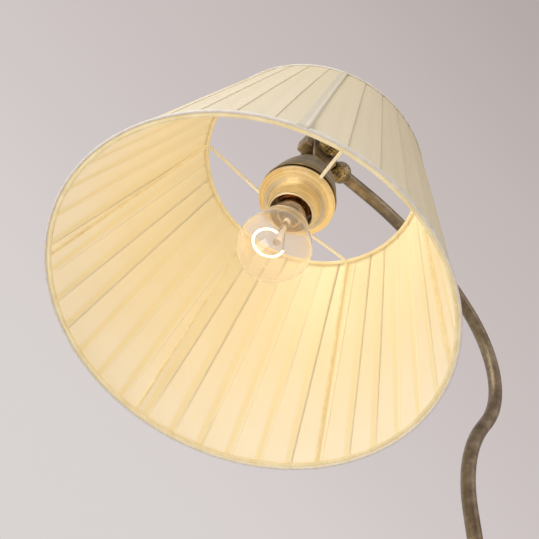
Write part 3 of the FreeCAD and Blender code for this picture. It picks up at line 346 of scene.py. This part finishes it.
def wovenCloth(name, look):
    # fine plain weave in flat pleats: stacked layers are denser and yellower, and fold edges get a painted
    # highlight
    material, tree = newMaterial(name)
    uv = addNode(tree, "ShaderNodeUVMap", uv_map="cut").outputs[0]
    place = addNode(tree, "ShaderNodeTexCoord").outputs["Object"]
    split = addNode(tree, "ShaderNodeSeparateXYZ", None, {0: uv})
    layers = addNode(tree, "ShaderNodeAttribute", attribute_name="layers").outputs["Fac"]
    foldHighlight = addNode(tree, "ShaderNodeAttribute", attribute_name="foldHighlight").outputs["Fac"]
    waves = []
    for axis in ("X", "Y"):
        scaled = addNode(tree, "ShaderNodeMath", {1: clothLook["threadsPerMm"] * 2 * math.pi / mm},
                         {0: split.outputs[axis]}, operation="MULTIPLY").outputs[0]
        waves.append(addNode(tree, "ShaderNodeMath", None, {0: scaled}, operation="SINE").outputs[0])
    weave = addNode(tree, "ShaderNodeMath", None, {0: waves[0], 1: waves[1]},
                    operation="MULTIPLY").outputs[0]
    slubWidth, slubLength = clothLook["slub"]
    stretched = addNode(tree, "ShaderNodeMapping",
                        {"Scale": (1 / (slubWidth * mm), 1 / (slubLength * mm), 1)},
                        {"Vector": uv}).outputs[0]
    slubs = addNode(tree, "ShaderNodeTexNoise", {"Scale": 1.0, "Detail": 3, "Roughness": 0.6},
                    {"Vector": stretched}).outputs[0]
    clouds = addNode(tree, "ShaderNodeTexNoise", {"Scale": 1 / (clothLook["cloud"] * mm), "Detail": 2},
                     {"Vector": place}).outputs[0]
    low = addNode(tree, "ShaderNodeMapRange", {"From Max": shade["height"] * mm},
                  {"Value": split.outputs["Y"]}).outputs[0]
    mix = low
    for title, pattern in (("slubs", slubs), ("clouds", clouds), ("weave", weave)):
        mix = addNode(tree, "ShaderNodeMath", {1: clothLook["shares"][title]}, {0: pattern, 2: mix},
                      operation="MULTIPLY_ADD").outputs[0]
    mix = addNode(tree, "ShaderNodeMapRange", clothLook["sum"], {"Value": mix}).outputs[0]
    stops = list(zip((0.0, 0.5, 1.0), look["height"]))
    plain = addNode(tree, "ShaderNodeValToRGB", None, {0: mix}, stops).outputs[0]
    # bands and the painted fold highlights fade towards the top, where the light is even
    fade = addNode(tree, "ShaderNodeMapRange", clothLook["fade"], {"Value": low}).outputs[0]
    band = addNode(tree, "ShaderNodeMath", None, {0: layers, 1: fade}, operation="MULTIPLY").outputs[0]
    band = addNode(tree, "ShaderNodeMath", {1: look["bands"]}, {0: band}, operation="MULTIPLY").outputs[0]
    colour = addNode(tree, "ShaderNodeMix", {7: linear(look["stacked"])}, {0: band, 6: plain},
                     data_type="RGBA").outputs[2]
    # painted highlight along the fold edges, stronger lower down
    lowFoldHighlight = addNode(tree, "ShaderNodeMapRange", {"From Min": look["foldHighlightFrom"], "To Max": look["foldHighlightShare"]},
                      {"Value": low}).outputs[0]
    line = addNode(tree, "ShaderNodeMath", None, {0: foldHighlight, 1: lowFoldHighlight}, operation="MULTIPLY").outputs[0]
    colour = addNode(tree, "ShaderNodeMix", {7: linear(look["foldHighlight"])}, {0: line, 6: colour},
                     data_type="RGBA").outputs[2]
    bump = addNode(tree, "ShaderNodeBump",
                   {"Strength": clothLook["bump"], "Distance": clothLook["depth"] * mm},
                   {"Height": weave}).outputs[0]
    surface = addNode(tree, "ShaderNodeBsdfPrincipled",
                      {"Roughness": clothLook["roughness"], "Sheen Weight": clothLook["sheen"],
                       "Emission Strength": look["glow"]},
                      {"Base Color": colour, "Emission Color": colour, "Normal": bump}).outputs[0]
    through = addNode(tree, "ShaderNodeBsdfTranslucent", None, {"Color": colour, "Normal": bump}).outputs[0]
    mixed = addNode(tree, "ShaderNodeMixShader", {0: clothLook["through"]},
                    {1: surface, 2: through}).outputs[0]
    addNode(tree, "ShaderNodeOutputMaterial", None, {"Surface": mixed})
    return material


tapeLook = {
    "rib": 0.9, "cloud": 6, "ribShare": 0.07,         # ribs' spacing and clouds' size in mm
    "stops": [(0.3, "#E6DFD2"), (0.55, "#F0EADF"), (0.8, "#F8F4EC")],
    "bump": 0.4, "depth": 0.08, "roughness": 0.85, "sheen": 0.2,
}


def tapeFinish(name):
    # woven cotton bias tape: a fine rib across its width
    look = tapeLook
    material, tree = newMaterial(name)
    uv = addNode(tree, "ShaderNodeUVMap", uv_map="cut").outputs[0]
    split = addNode(tree, "ShaderNodeSeparateXYZ", None, {0: uv})
    turn = addNode(tree, "ShaderNodeMath", {1: 2 * math.pi / (look["rib"] * mm)}, {0: split.outputs["X"]},
                   operation="MULTIPLY").outputs[0]
    rib = addNode(tree, "ShaderNodeMath", None, {0: turn}, operation="SINE").outputs[0]
    clouds = addNode(tree, "ShaderNodeTexNoise", {"Scale": 1 / (look["cloud"] * mm), "Detail": 3},
                     {"Vector": uv}).outputs[0]
    mix = addNode(tree, "ShaderNodeMath", {1: look["ribShare"]}, {0: rib, 2: clouds},
                  operation="MULTIPLY_ADD").outputs[0]
    colour = addNode(tree, "ShaderNodeValToRGB", None, {0: mix}, look["stops"]).outputs[0]
    bump = addNode(tree, "ShaderNodeBump", {"Strength": look["bump"], "Distance": look["depth"] * mm},
                   {"Height": rib}).outputs[0]
    surface = addNode(tree, "ShaderNodeBsdfPrincipled",
                      {"Roughness": look["roughness"], "Sheen Weight": look["sheen"]},
                      {"Base Color": colour, "Normal": bump}).outputs[0]
    addNode(tree, "ShaderNodeOutputMaterial", None, {"Surface": surface})
    return material


finishes["clothOutside"] = wovenCloth("clothOutside", clothLook["outer"])
finishes["clothInsideLit"] = wovenCloth("clothInsideLit", clothLook["inner"])
finishes["cottonTape"] = tapeFinish("cottonTape")
print("materials made:", len(finishes))

slope = (shade["bottomRadius"] - shade["topRadius"]) / shade["height"]


def coneRadius(drop, inset):
    # the shade's outer radius at a drop below the hinge, less an inset square to its side
    return shade["topRadius"] + (drop - shade["topDrop"]) * slope - inset * math.hypot(1, slope)


pleats = {
    "count": 38, "clothLength": 1500.0, "thickness": 0.14,
    "flatHeight": 0.226,      # the cloth's height as cut, in metres
    "foldRadius": 0.09, "foldGrowth": 0.6,            # folds are looser by this share at the bottom edge
    "edgeInset": 0.6, "girthInset": 0.6, "foldInset": 0.75,      # inside the shade's edges and its side
    # lines down one pleat, as shares of each stretch
    "under": (0.0, 0.35, 0.8, 1.0), "panel": (0.08, 0.25, 0.5, 0.75, 0.92, 1.0),
    "over": (0.3, 0.7, 0.94, 1.0), "back": (0.0, 0.3, 0.7, 1.0),
    # cloth used at the outer fold and on the way back, in laps, and at the inner fold, as a share of it all
    "usedAtFold": 1.01, "usedBack": 0.98, "usedAtEnd": 0.995,
    "nearFoldHighlight": 0.8,          # painted highlight share of the lines beside a fold
    "stackedIn": 0.06, "stackedOut": 0.04,            # the layers' mark fades over these shares of a pitch
    "seed": 7, "wander": 0.35, "bow": 0.35, "bowSpread": 0.4,    # how far hand-set pleats stray, in mm
    "rows": 33,
}


def pleatedCloth():
    # knife pleats: each panel runs forward over one pitch plus its lap, turns round a small fold,
    # runs back under itself for the lap and turns forward again as the next panel. Along a lap three
    # layers lie two fold radii apart, and between laps the panel climbs from the lowest to the highest
    count, rows, near = pleats["count"], pleats["rows"], pleats["nearFoldHighlight"]
    v = np.linspace(0, 1, rows)
    drop = shade["topDrop"] + pleats["edgeInset"] + v * (shade["height"] - 2 * pleats["edgeInset"])
    girth = 2 * math.pi * coneRadius(drop, pleats["girthInset"])
    pitch = girth / count
    lap = (pleats["clothLength"] / count - pitch) / 2
    length = pitch + 2 * lap
    r = pleats["foldRadius"] * (1 + pleats["foldGrowth"] * v)
    # the last list holds each line's share of the painted fold highlight: full on a fold, less beside it
    path, depth, flat, foldHighlight = [], [], [], []

    def addLine(along, deep, used, mark):
        path.append(along)
        depth.append(deep)
        flat.append(used / length)
        foldHighlight.append(mark)

    for t in pleats["under"]:            # under the fold before it
        addLine(-lap + r + t * (lap - r), -4 * r, t * lap, near if t == 0 else 0.0)
    for t in pleats["panel"]:
        climb = t * t * (3 - 2 * t)
        addLine(t * (pitch - lap), -4 * r * (1 - climb), lap + t * (pitch - lap), 0.0)
    for t in pleats["over"]:             # over the lap to the outer fold
        addLine(pitch - lap + t * (lap - r), np.zeros(rows), pitch + t * lap, near if t == 1 else 0.0)
    addLine(pitch, -r, pitch + lap * pleats["usedAtFold"], 1.0)
    for t in pleats["back"]:             # back under itself
        addLine(pitch - r - t * (lap - 2 * r), -2 * r, pitch + lap + t * lap * pleats["usedBack"],
                near if t in (0, 1) else 0.0)
    addLine(pitch - lap, -3 * r, length * pleats["usedAtEnd"], 1.0)
    index = np.repeat(np.arange(count), len(path))
    path, depth, flat = (np.tile(np.array(part), (count, 1)) for part in (path, depth, flat))
    foldHighlight = np.broadcast_to(np.tile(foldHighlight, count)[:, None], path.shape)
    # each pleat strays a little from its place, sways and bows by its own amount
    wander = np.random.default_rng(pleats["seed"]).normal(0, pleats["wander"], (count, 3))[index]
    sway = np.sin(math.pi * v)[None]
    drift = wander[:, :1] + wander[:, 1:2] * sway
    bow = pleats["bow"] * sway ** 2 * (1 + pleats["bowSpread"] * wander[:, 2:])
    angle = 2 * math.pi * (index[:, None] * pitch[None] + path + drift) / girth[None]
    radius = coneRadius(drop, pleats["foldInset"])[None] + depth + bow
    points = fromHead(around(radius, angle, -drop[None]) * mm)
    # three layers lie over each other along the lap, and one between laps
    across = (path / pitch[None]) % 1.0
    stacked = (np.clip((across - (1 - lap / pitch)) / pleats["stackedIn"] + 0.5, 0, 1)
               * np.clip((1 - across) / pleats["stackedOut"], 0, 1))
    share = (index + flat[:, rows // 2]) / count
    uvU = np.append(share, 1.0) * pleats["clothLength"] * mm
    uvV = v * shade["height"] * mm
    return points, (uvU, uvV), {"layers": stacked, "foldHighlight": foldHighlight}


points, uv, marks = pleatedCloth()
cloth = addSurface("pleatedCloth", points, "head", [finishes["clothOutside"], finishes["clothInsideLit"]],
                   wrapU=True, uv=uv, flip=True, attributes=marks)
modify(cloth, "SOLIDIFY", thickness=pleats["thickness"] * mm, offset=0, material_offset=1, use_rim=True)
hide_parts("shade_fabric")
print("pleated cloth made")

filament = {
    "ringRadius": 13.0, "opening": 80.0,      # the open ring that the coil follows, its gap in degrees
    "middle": (7.0, -57.0, -155.0),                   # distance from the bulb's axis, direction, height
    "coilRadius": 0.75, "wire": 0.2, "pitch": 0.95, "pointsPerTurn": 9, "wireSides": 5,
    "leadRadius": 0.35, "leadTop": -133.2, "leadPoints": 9, "leadSides": 8,
    "stemRadius": 2.6,
}


def tubeAlong(line, normal, radius, sides):
    # a circle of the given radius carried along the line, square to it; both ends close to a point
    tangent = np.gradient(line, axis=0)
    tangent /= np.linalg.norm(tangent, axis=1, keepdims=True)
    normal = normal - (normal * tangent).sum(1, keepdims=True) * tangent
    normal /= np.linalg.norm(normal, axis=1, keepdims=True)
    side = np.cross(tangent, normal)
    turn = np.linspace(0, 2 * math.pi, sides + 1)[:-1]
    line = np.concatenate([line[:1], line, line[-1:]])
    normal, side = (np.concatenate([part[:1], part, part[-1:]]) for part in (normal, side))
    size = np.full(len(line), radius)
    size[[0, -1]] = 0
    ring = np.cos(turn)[None, :, None] * normal[:, None] + np.sin(turn)[None, :, None] * side[:, None]
    return line[:, None] + size[:, None, None] * ring


def ringPoint(angle):
    distance, direction, height = filament["middle"]
    middle = around(distance, math.radians(direction), height)
    return middle + around(filament["ringRadius"], angle, 0.0)


def ringEnd(side):
    # the angle at which the open ring starts, for side 1, or ends, for side -1
    return math.radians(filament["middle"][1] + 180 + side * filament["opening"] / 2)


def filamentCoil():
    # a helix round the open ring: ring point + coil radius x (outwards x cos + up x sin)
    sweep = math.radians(360 - filament["opening"])
    turns = int(sweep * filament["ringRadius"] / filament["pitch"])
    s = np.linspace(0, 1, turns * filament["pointsPerTurn"] + 1)
    angle = ringEnd(1) + sweep * s
    phase = 2 * math.pi * turns * s[:, None]
    normal = around(1.0, angle, 0.0) * np.cos(phase) + np.array([0, 0, 1.0]) * np.sin(phase)
    line = ringPoint(angle) + filament["coilRadius"] * normal
    return tubeAlong(line, normal, filament["wire"], filament["wireSides"])


def leadWire(end):
    # a straight wire from the stem's side to one end of the coil
    tip = ringPoint(end)
    away = tip[:2] / np.linalg.norm(tip[:2])
    foot = np.array([*(filament["stemRadius"] * away), filament["leadTop"]])
    line = foot + np.linspace(0, 1, filament["leadPoints"])[:, None] * (tip - foot)
    normal = np.broadcast_to(np.array([*away, 0.0]), line.shape)
    return tubeAlong(line, normal, filament["leadRadius"], filament["leadSides"])


coil = addSurface("filamentCoil", fromHead(filamentCoil() * mm), "head", [finishes["glowingTungsten"]],
                  wrapV=True, poles=True)
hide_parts("bulb_filament")
for name, side in (("leadWireFirst", 1), ("leadWireSecond", -1)):
    lead = addSurface(name, fromHead(leadWire(ringEnd(side)) * mm), "head", [finishes["zincSteel"]],
                      wrapV=True, poles=True)
print("filament made")

seam = {
    "angle": 64.0, "width": 7.0, "edgeInset": 0.8,    # degrees round the shade, then mm
    "inset": 0.55, "lift": 0.25,                      # its middle's depth in the side, its rise from it
    "half": 0.30, "blunt": 0.6,                       # half its thickness, and how blunt its sides are
    "rise": 0.45, "riseAt": 0.36, "riseWidth": 1.1,   # the rolled edge
    "flare": 0.25,                                    # it is wider by this share at the bottom edge
    "swellAt": 0.95, "swellLength": 0.045, "swellWide": 0.2, "swellProud": 1.6,
    "foldHighlightAt": 0.4, "foldHighlightWidth": 1.2,                  # where the painted highlight on its fold lies
    "rows": 45, "sides": 40,
}


def bell(values, middle, width):
    return np.exp(-((values - middle) / width) ** 2)


def seamFold():
    # where the cloth's two ends meet, the outer one is turned under: a flat closed loop with a rolled
    # edge, its half thickness rising in a bell curve near that edge, carried down the cone and closed
    # at both ends
    width, rows, sides = seam["width"], seam["rows"], seam["sides"]
    turn = np.linspace(0, 2 * math.pi, sides + 1)[:-1]
    v = np.concatenate([[0.0], np.linspace(0.0, 1.0, rows), [1.0]])
    size = np.concatenate([[0.0], np.ones(rows), [0.0]])[:, None]
    across = width / 2 * np.cos(turn)
    half = seam["half"] + seam["rise"] * bell(across, width * seam["riseAt"], seam["riseWidth"])
    out = np.sign(np.sin(turn)) * np.abs(np.sin(turn)) ** seam["blunt"] * half
    drop = shade["topDrop"] + seam["edgeInset"] + v * (shade["height"] - 2 * seam["edgeInset"])
    # the strip widens downwards and swells where it is tucked over the bottom edge
    swell = bell(v, seam["swellAt"], seam["swellLength"])
    wide = (1 + seam["flare"] * v ** 3 + seam["swellWide"] * swell)[:, None]
    proud = (1 + seam["swellProud"] * swell)[:, None]
    middle = coneRadius(drop, seam["inset"])[:, None]
    radius = middle + size * (out[None] + seam["lift"]) * proud
    angle = math.radians(seam["angle"]) + size * across[None] * wide / middle
    grid = fromHead(around(radius, angle, -drop[:, None]) * mm).transpose(1, 0, 2)
    # painted highlight along the seam's rolled fold
    foldHighlight = np.broadcast_to(bell(across, width * seam["foldHighlightAt"], seam["foldHighlightWidth"])[:, None], grid.shape[:2])
    uvU = np.append(np.linspace(0, 2 * width, sides), 2 * width) * mm
    uvV = v * shade["height"] * mm
    return grid, (uvU, uvV), {"layers": np.ones(grid.shape[:2]), "foldHighlight": foldHighlight}


grid, uv, marks = seamFold()
seamStrip = addSurface("seamFold", grid, "head", [finishes["clothOutside"]], wrapU=True, uv=uv,
                       attributes=marks, poles=True)

tapeShape = {"width": 5.0, "steps": 360, "girth": 12.0, "closingEdge": 0.5}


def rolledTape(edgeDrop, inward):
    # a closed rounded profile carried round the shade's edge: outer band, turned edge, and its return under
    # the cloth. Its points are mm inwards from the edge and mm in from the shade's side
    wide, steps = tapeShape["width"], tapeShape["steps"]
    profile = np.array([(wide, 0.60), (wide - 0.25, 0.12), (wide / 2, -0.05), (0.7, 0.0), (0.2, 0.25),
                        (0.0, 0.9), (0.1, 1.5), (0.4, 1.85), (0.66, 1.6), (0.62, 0.95), (0.8, 0.68)])
    along = edgeDrop + inward * profile[:, 0]
    radius = coneRadius(along, profile[:, 1])
    turn = np.linspace(0, 2 * math.pi, steps + 1)
    grid = around(radius[None] * mm, turn[:-1, None], -along[None] * mm)
    uvU = turn * radius.max() * mm
    girth = np.linspace(0, tapeShape["girth"], len(profile))
    uvV = np.append(girth, tapeShape["girth"] + tapeShape["closingEdge"]) * mm
    return fromHead(grid), (uvU, uvV)


bottomEdge = shade["topDrop"] + shade["height"]
for name, node, edge, inward in (("topTape", "shade_top_tape", shade["topDrop"], 1),
                                 ("bottomTape", "shade_bottom_tape", bottomEdge, -1)):
    grid, uv = rolledTape(edge, inward)
    tape = addSurface(name, grid, "head", [finishes["cottonTape"]], wrapU=True, wrapV=True, uv=uv,
                      flip=inward > 0)
    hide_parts(node)
print("seam and tapes made")

feltPad = {
    "radius": 124.0, "thickness": 2.5, "edge": 0.6, "edgeAngle": 50,
    "middleShare": 0.06, "rings": 24, "sides": 144,
    # waves: their height, their sizes along the radius, how many go round, and the room left for them
    "wave": 0.05, "waveIn": 9, "waveTwist": 20, "waveRound": 3, "waveRoom": 0.2,
}


def feltDisc():
    # rings of points from the middle to the edge at half the pad's height, with very low waves;
    # Solidify gives the thickness
    radius = feltPad["radius"] * np.append(0.0, np.linspace(feltPad["middleShare"], 1.0, feltPad["rings"]))
    radius = radius[:, None]
    turn = np.linspace(0, 2 * math.pi, feltPad["sides"] + 1)[None, :-1]
    wave = (feltPad["wave"] * np.sin(radius / feltPad["waveIn"])
            * np.cos(feltPad["waveRound"] * turn + radius / feltPad["waveTwist"]))
    return around(radius * mm, turn, (feltPad["thickness"] / 2 + wave) * mm)


felt = addSurface("feltPad", feltDisc(), "base", [finishes["felt"]], wrapV=True, poles=True)
modify(felt, "SOLIDIFY", thickness=(feltPad["thickness"] - feltPad["waveRoom"]) * mm, offset=0,
       use_rim=True)
modify(felt, "BEVEL", width=feltPad["edge"] * mm, segments=3, limit_method="ANGLE",
       angle_limit=math.radians(feltPad["edgeAngle"]))
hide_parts("base_felt")
print("felt pad made")

nodeFinish = {
    "antiqueBrass": ["neck_tube", "column_tube", "knuckle_bar", "tilt_yoke", "swivel_collar",
                     "thumb_screw"],
    "spunBrass": ["base_cover", "column_foot", "column_ferrule", "neck_ball", "tilt_knob", "holder_husk",
                  "holder_cap"],
    "brightBrass": ["holder_dome", "centre_contact", "bulb_cap", "clamp_shoe", "column_plug"],
    "satinBrass": ["holder_shell", "ring_nut", "spider_plate"],
    "rolledCopper": ["screw_shell"],
    "castIron": ["base_weight"],
    "zincSteel": ["tie_nipple", "base_washer", "base_nut", "retaining_screws", "hinge_bolt",
                  "spring_washer", "lock_nut", "holder_nipple", "cap_nut", "terminal_screws"],
    "blackPlastic": ["cord_gland", "bulb_insulator"],
    "nylon": ["guide_bush", "neck_foot_bush"],
    "fibre": ["friction_washers"],
    "porcelain": ["holder_insert"],
    "whiteEnamel": ["spider_arms"],
    "boundWire": ["shade_top_ring", "shade_bottom_ring", "shade_struts"],
    "clearGlass": ["bulb_glass", "bulb_stem"],
    "solder": ["bulb_tip"],
}
for finish, names in nodeFinish.items():
    for name in names:
        nodes[name].data.materials.clear()
        nodes[name].data.materials.append(finishes[finish])
print("finishes given to the solid pieces")


floorLook = {"colours": ["#CFC8C6", "#D6D0CE"], "cloudsPerMetre": 1.5, "roughness": 0.9}
floorShape = {"radius": 12.0, "drop": 0.0005, "sides": 96}      # metres


def stageFloor():
    # a pale disc just under the base, which the views from above look down on
    material, tree = newMaterial("paleFloor")
    place = addNode(tree, "ShaderNodeTexCoord").outputs["Object"]
    clouds = addNode(tree, "ShaderNodeTexNoise", {"Scale": floorLook["cloudsPerMetre"], "Detail": 2},
                     {"Vector": place}).outputs[0]
    stops = list(zip(noiseEnds, floorLook["colours"]))
    colour = addNode(tree, "ShaderNodeValToRGB", None, {0: clouds}, stops).outputs[0]
    surface = addNode(tree, "ShaderNodeBsdfPrincipled", {"Roughness": floorLook["roughness"]},
                      {"Base Color": colour}).outputs[0]
    addNode(tree, "ShaderNodeOutputMaterial", None, {"Surface": surface})
    turn = np.linspace(0, 2 * math.pi, floorShape["sides"] + 1)[:-1]
    rim = around(floorShape["radius"], turn, -floorShape["drop"])
    mesh = bpy.data.meshes.new("floor")
    mesh.from_pydata(rim.tolist(), [], [list(range(len(rim)))])
    mesh.materials.append(material)
    floor = bpy.data.objects.new("floor", mesh)
    bpy.context.scene.collection.objects.link(floor)


stageFloor()

# the camera's place from the hinge in metres, its axes, its lens in mm and what it sees nearest in metres
cameraLook = {
    "place": hinge + np.array([0.4057, 0.4225, -0.7001]),
    "forward": (-0.4600, -0.5603, 0.6888), "right": (-0.7729, 0.6345, 0.0), "up": (0.4370, 0.5324, 0.7250),
    "lens": 65.68, "sensor": 36.0, "nearest": 0.01,
}


def addCamera():
    camera = bpy.data.cameras.new("camera")
    camera.lens = cameraLook["lens"]
    camera.sensor_width = cameraLook["sensor"]
    camera.clip_start = cameraLook["nearest"]
    body = bpy.data.objects.new("camera", camera)
    axes = [Vector(cameraLook[k]).normalized() for k in ("right", "up", "forward")]
    turn = Matrix((axes[0], axes[1], -axes[2])).transposed().to_4x4()
    body.matrix_world = Matrix.Translation(cameraLook["place"]) @ turn
    bpy.context.scene.collection.objects.link(body)
    bpy.context.scene.camera = body


addCamera()

lampLook = {
    # name: place relative to the hinge, size in metres, watts, colour
    "keySoftbox": ((1.9, 0.3, 1.5), 1.6, 40.0, "#FFFBF4"),
    "fillSoftbox": ((-1.2, 2.2, 0.2), 1.8, 9.0, "#F8EEDD"),
    "lowSoftbox": ((1.5, 0.1, -1.2), 1.2, 15.0, "#FFFFFF"),
}
# the filament's light, at the middle of its ring in the head's frame, in metres
bulbLook = {"watts": 0.055, "colour": "#FFEFD2", "radius": 0.012, "place": (0.0038, -0.0059, -0.155)}


def addLamps():
    for name, (offset, size, power, colour) in lampLook.items():
        lamp = bpy.data.lights.new(name, "AREA")
        lamp.shape = "SQUARE"
        lamp.size = size
        lamp.energy = power
        lamp.color = linear(colour)[:3]
        body = bpy.data.objects.new(name, lamp)
        place = Vector(hinge) + Vector(offset)
        body.matrix_world = (Matrix.Translation(place)
                             @ (Vector(hinge) - place).to_track_quat("-Z", "Y").to_matrix().to_4x4())
        bpy.context.scene.collection.objects.link(body)
    # the filament's light stays unseen, since the wire itself is what shows
    bulb = bpy.data.lights.new("bulbLight", "POINT")
    bulb.energy = bulbLook["watts"]
    bulb.color = linear(bulbLook["colour"])[:3]
    bulb.shadow_soft_size = bulbLook["radius"]
    body = bpy.data.objects.new("bulbLight", bulb)
    body.location = fromHead(np.array(bulbLook["place"]))
    body.visible_camera = body.visible_glossy = body.visible_transmission = False
    bpy.context.scene.collection.objects.link(body)


addLamps()

backdrop = {
    # the backdrop is graded along right x the first share + up x the second, as far as reach to both sides
    "across": (-0.74, -0.67), "reach": 0.36,
    "stops": [(0.0, "#B3AAA8"), (0.22, "#C4BAB8"), (0.45, "#CCC3C2"), (0.75, "#D8D1CF"), (1.0, "#D9D4D2")],
    "sky": "#F4F2F0", "skyStrength": 0.55,
}


def addWorld():
    # diffuse light comes from an even pale sky; the camera, glass and metal see the grey backdrop,
    # which is lighter low down
    world = bpy.data.worlds.new("studio")
    world.use_nodes = True
    tree = world.node_tree
    tree.nodes.clear()
    direction = addNode(tree, "ShaderNodeTexCoord").outputs["Generated"]
    alongRight, alongUp = backdrop["across"]
    across = Vector(cameraLook["right"]) * alongRight + Vector(cameraLook["up"]) * alongUp
    tilt = addNode(tree, "ShaderNodeVectorMath", {1: across}, {0: direction},
                   operation="DOT_PRODUCT").outputs["Value"]
    level = addNode(tree, "ShaderNodeMapRange",
                    {"From Min": -backdrop["reach"], "From Max": backdrop["reach"]},
                    {"Value": tilt}).outputs[0]
    colour = addNode(tree, "ShaderNodeValToRGB", None, {0: level}, backdrop["stops"]).outputs[0]
    seen = addNode(tree, "ShaderNodeBackground", {"Strength": 1.0}, {"Color": colour}).outputs[0]
    light = addNode(tree, "ShaderNodeBackground",
                    {"Color": linear(backdrop["sky"]), "Strength": backdrop["skyStrength"]}).outputs[0]
    rays = addNode(tree, "ShaderNodeLightPath").outputs
    clear = addNode(tree, "ShaderNodeMath", None, {0: rays["Is Camera Ray"], 1: rays["Is Glossy Ray"]},
                    operation="MAXIMUM").outputs[0]
    clear = addNode(tree, "ShaderNodeMath", None, {0: clear, 1: rays["Is Transmission Ray"]},
                    operation="MAXIMUM").outputs[0]
    mixed = addNode(tree, "ShaderNodeMixShader", None, {0: clear, 1: light, 2: seen}).outputs[0]
    addNode(tree, "ShaderNodeOutputWorld", None, {"Surface": mixed})
    bpy.context.scene.world = world


addWorld()
bpy.context.scene.view_settings.view_transform = "Standard"
print("stage, lamps and camera set")
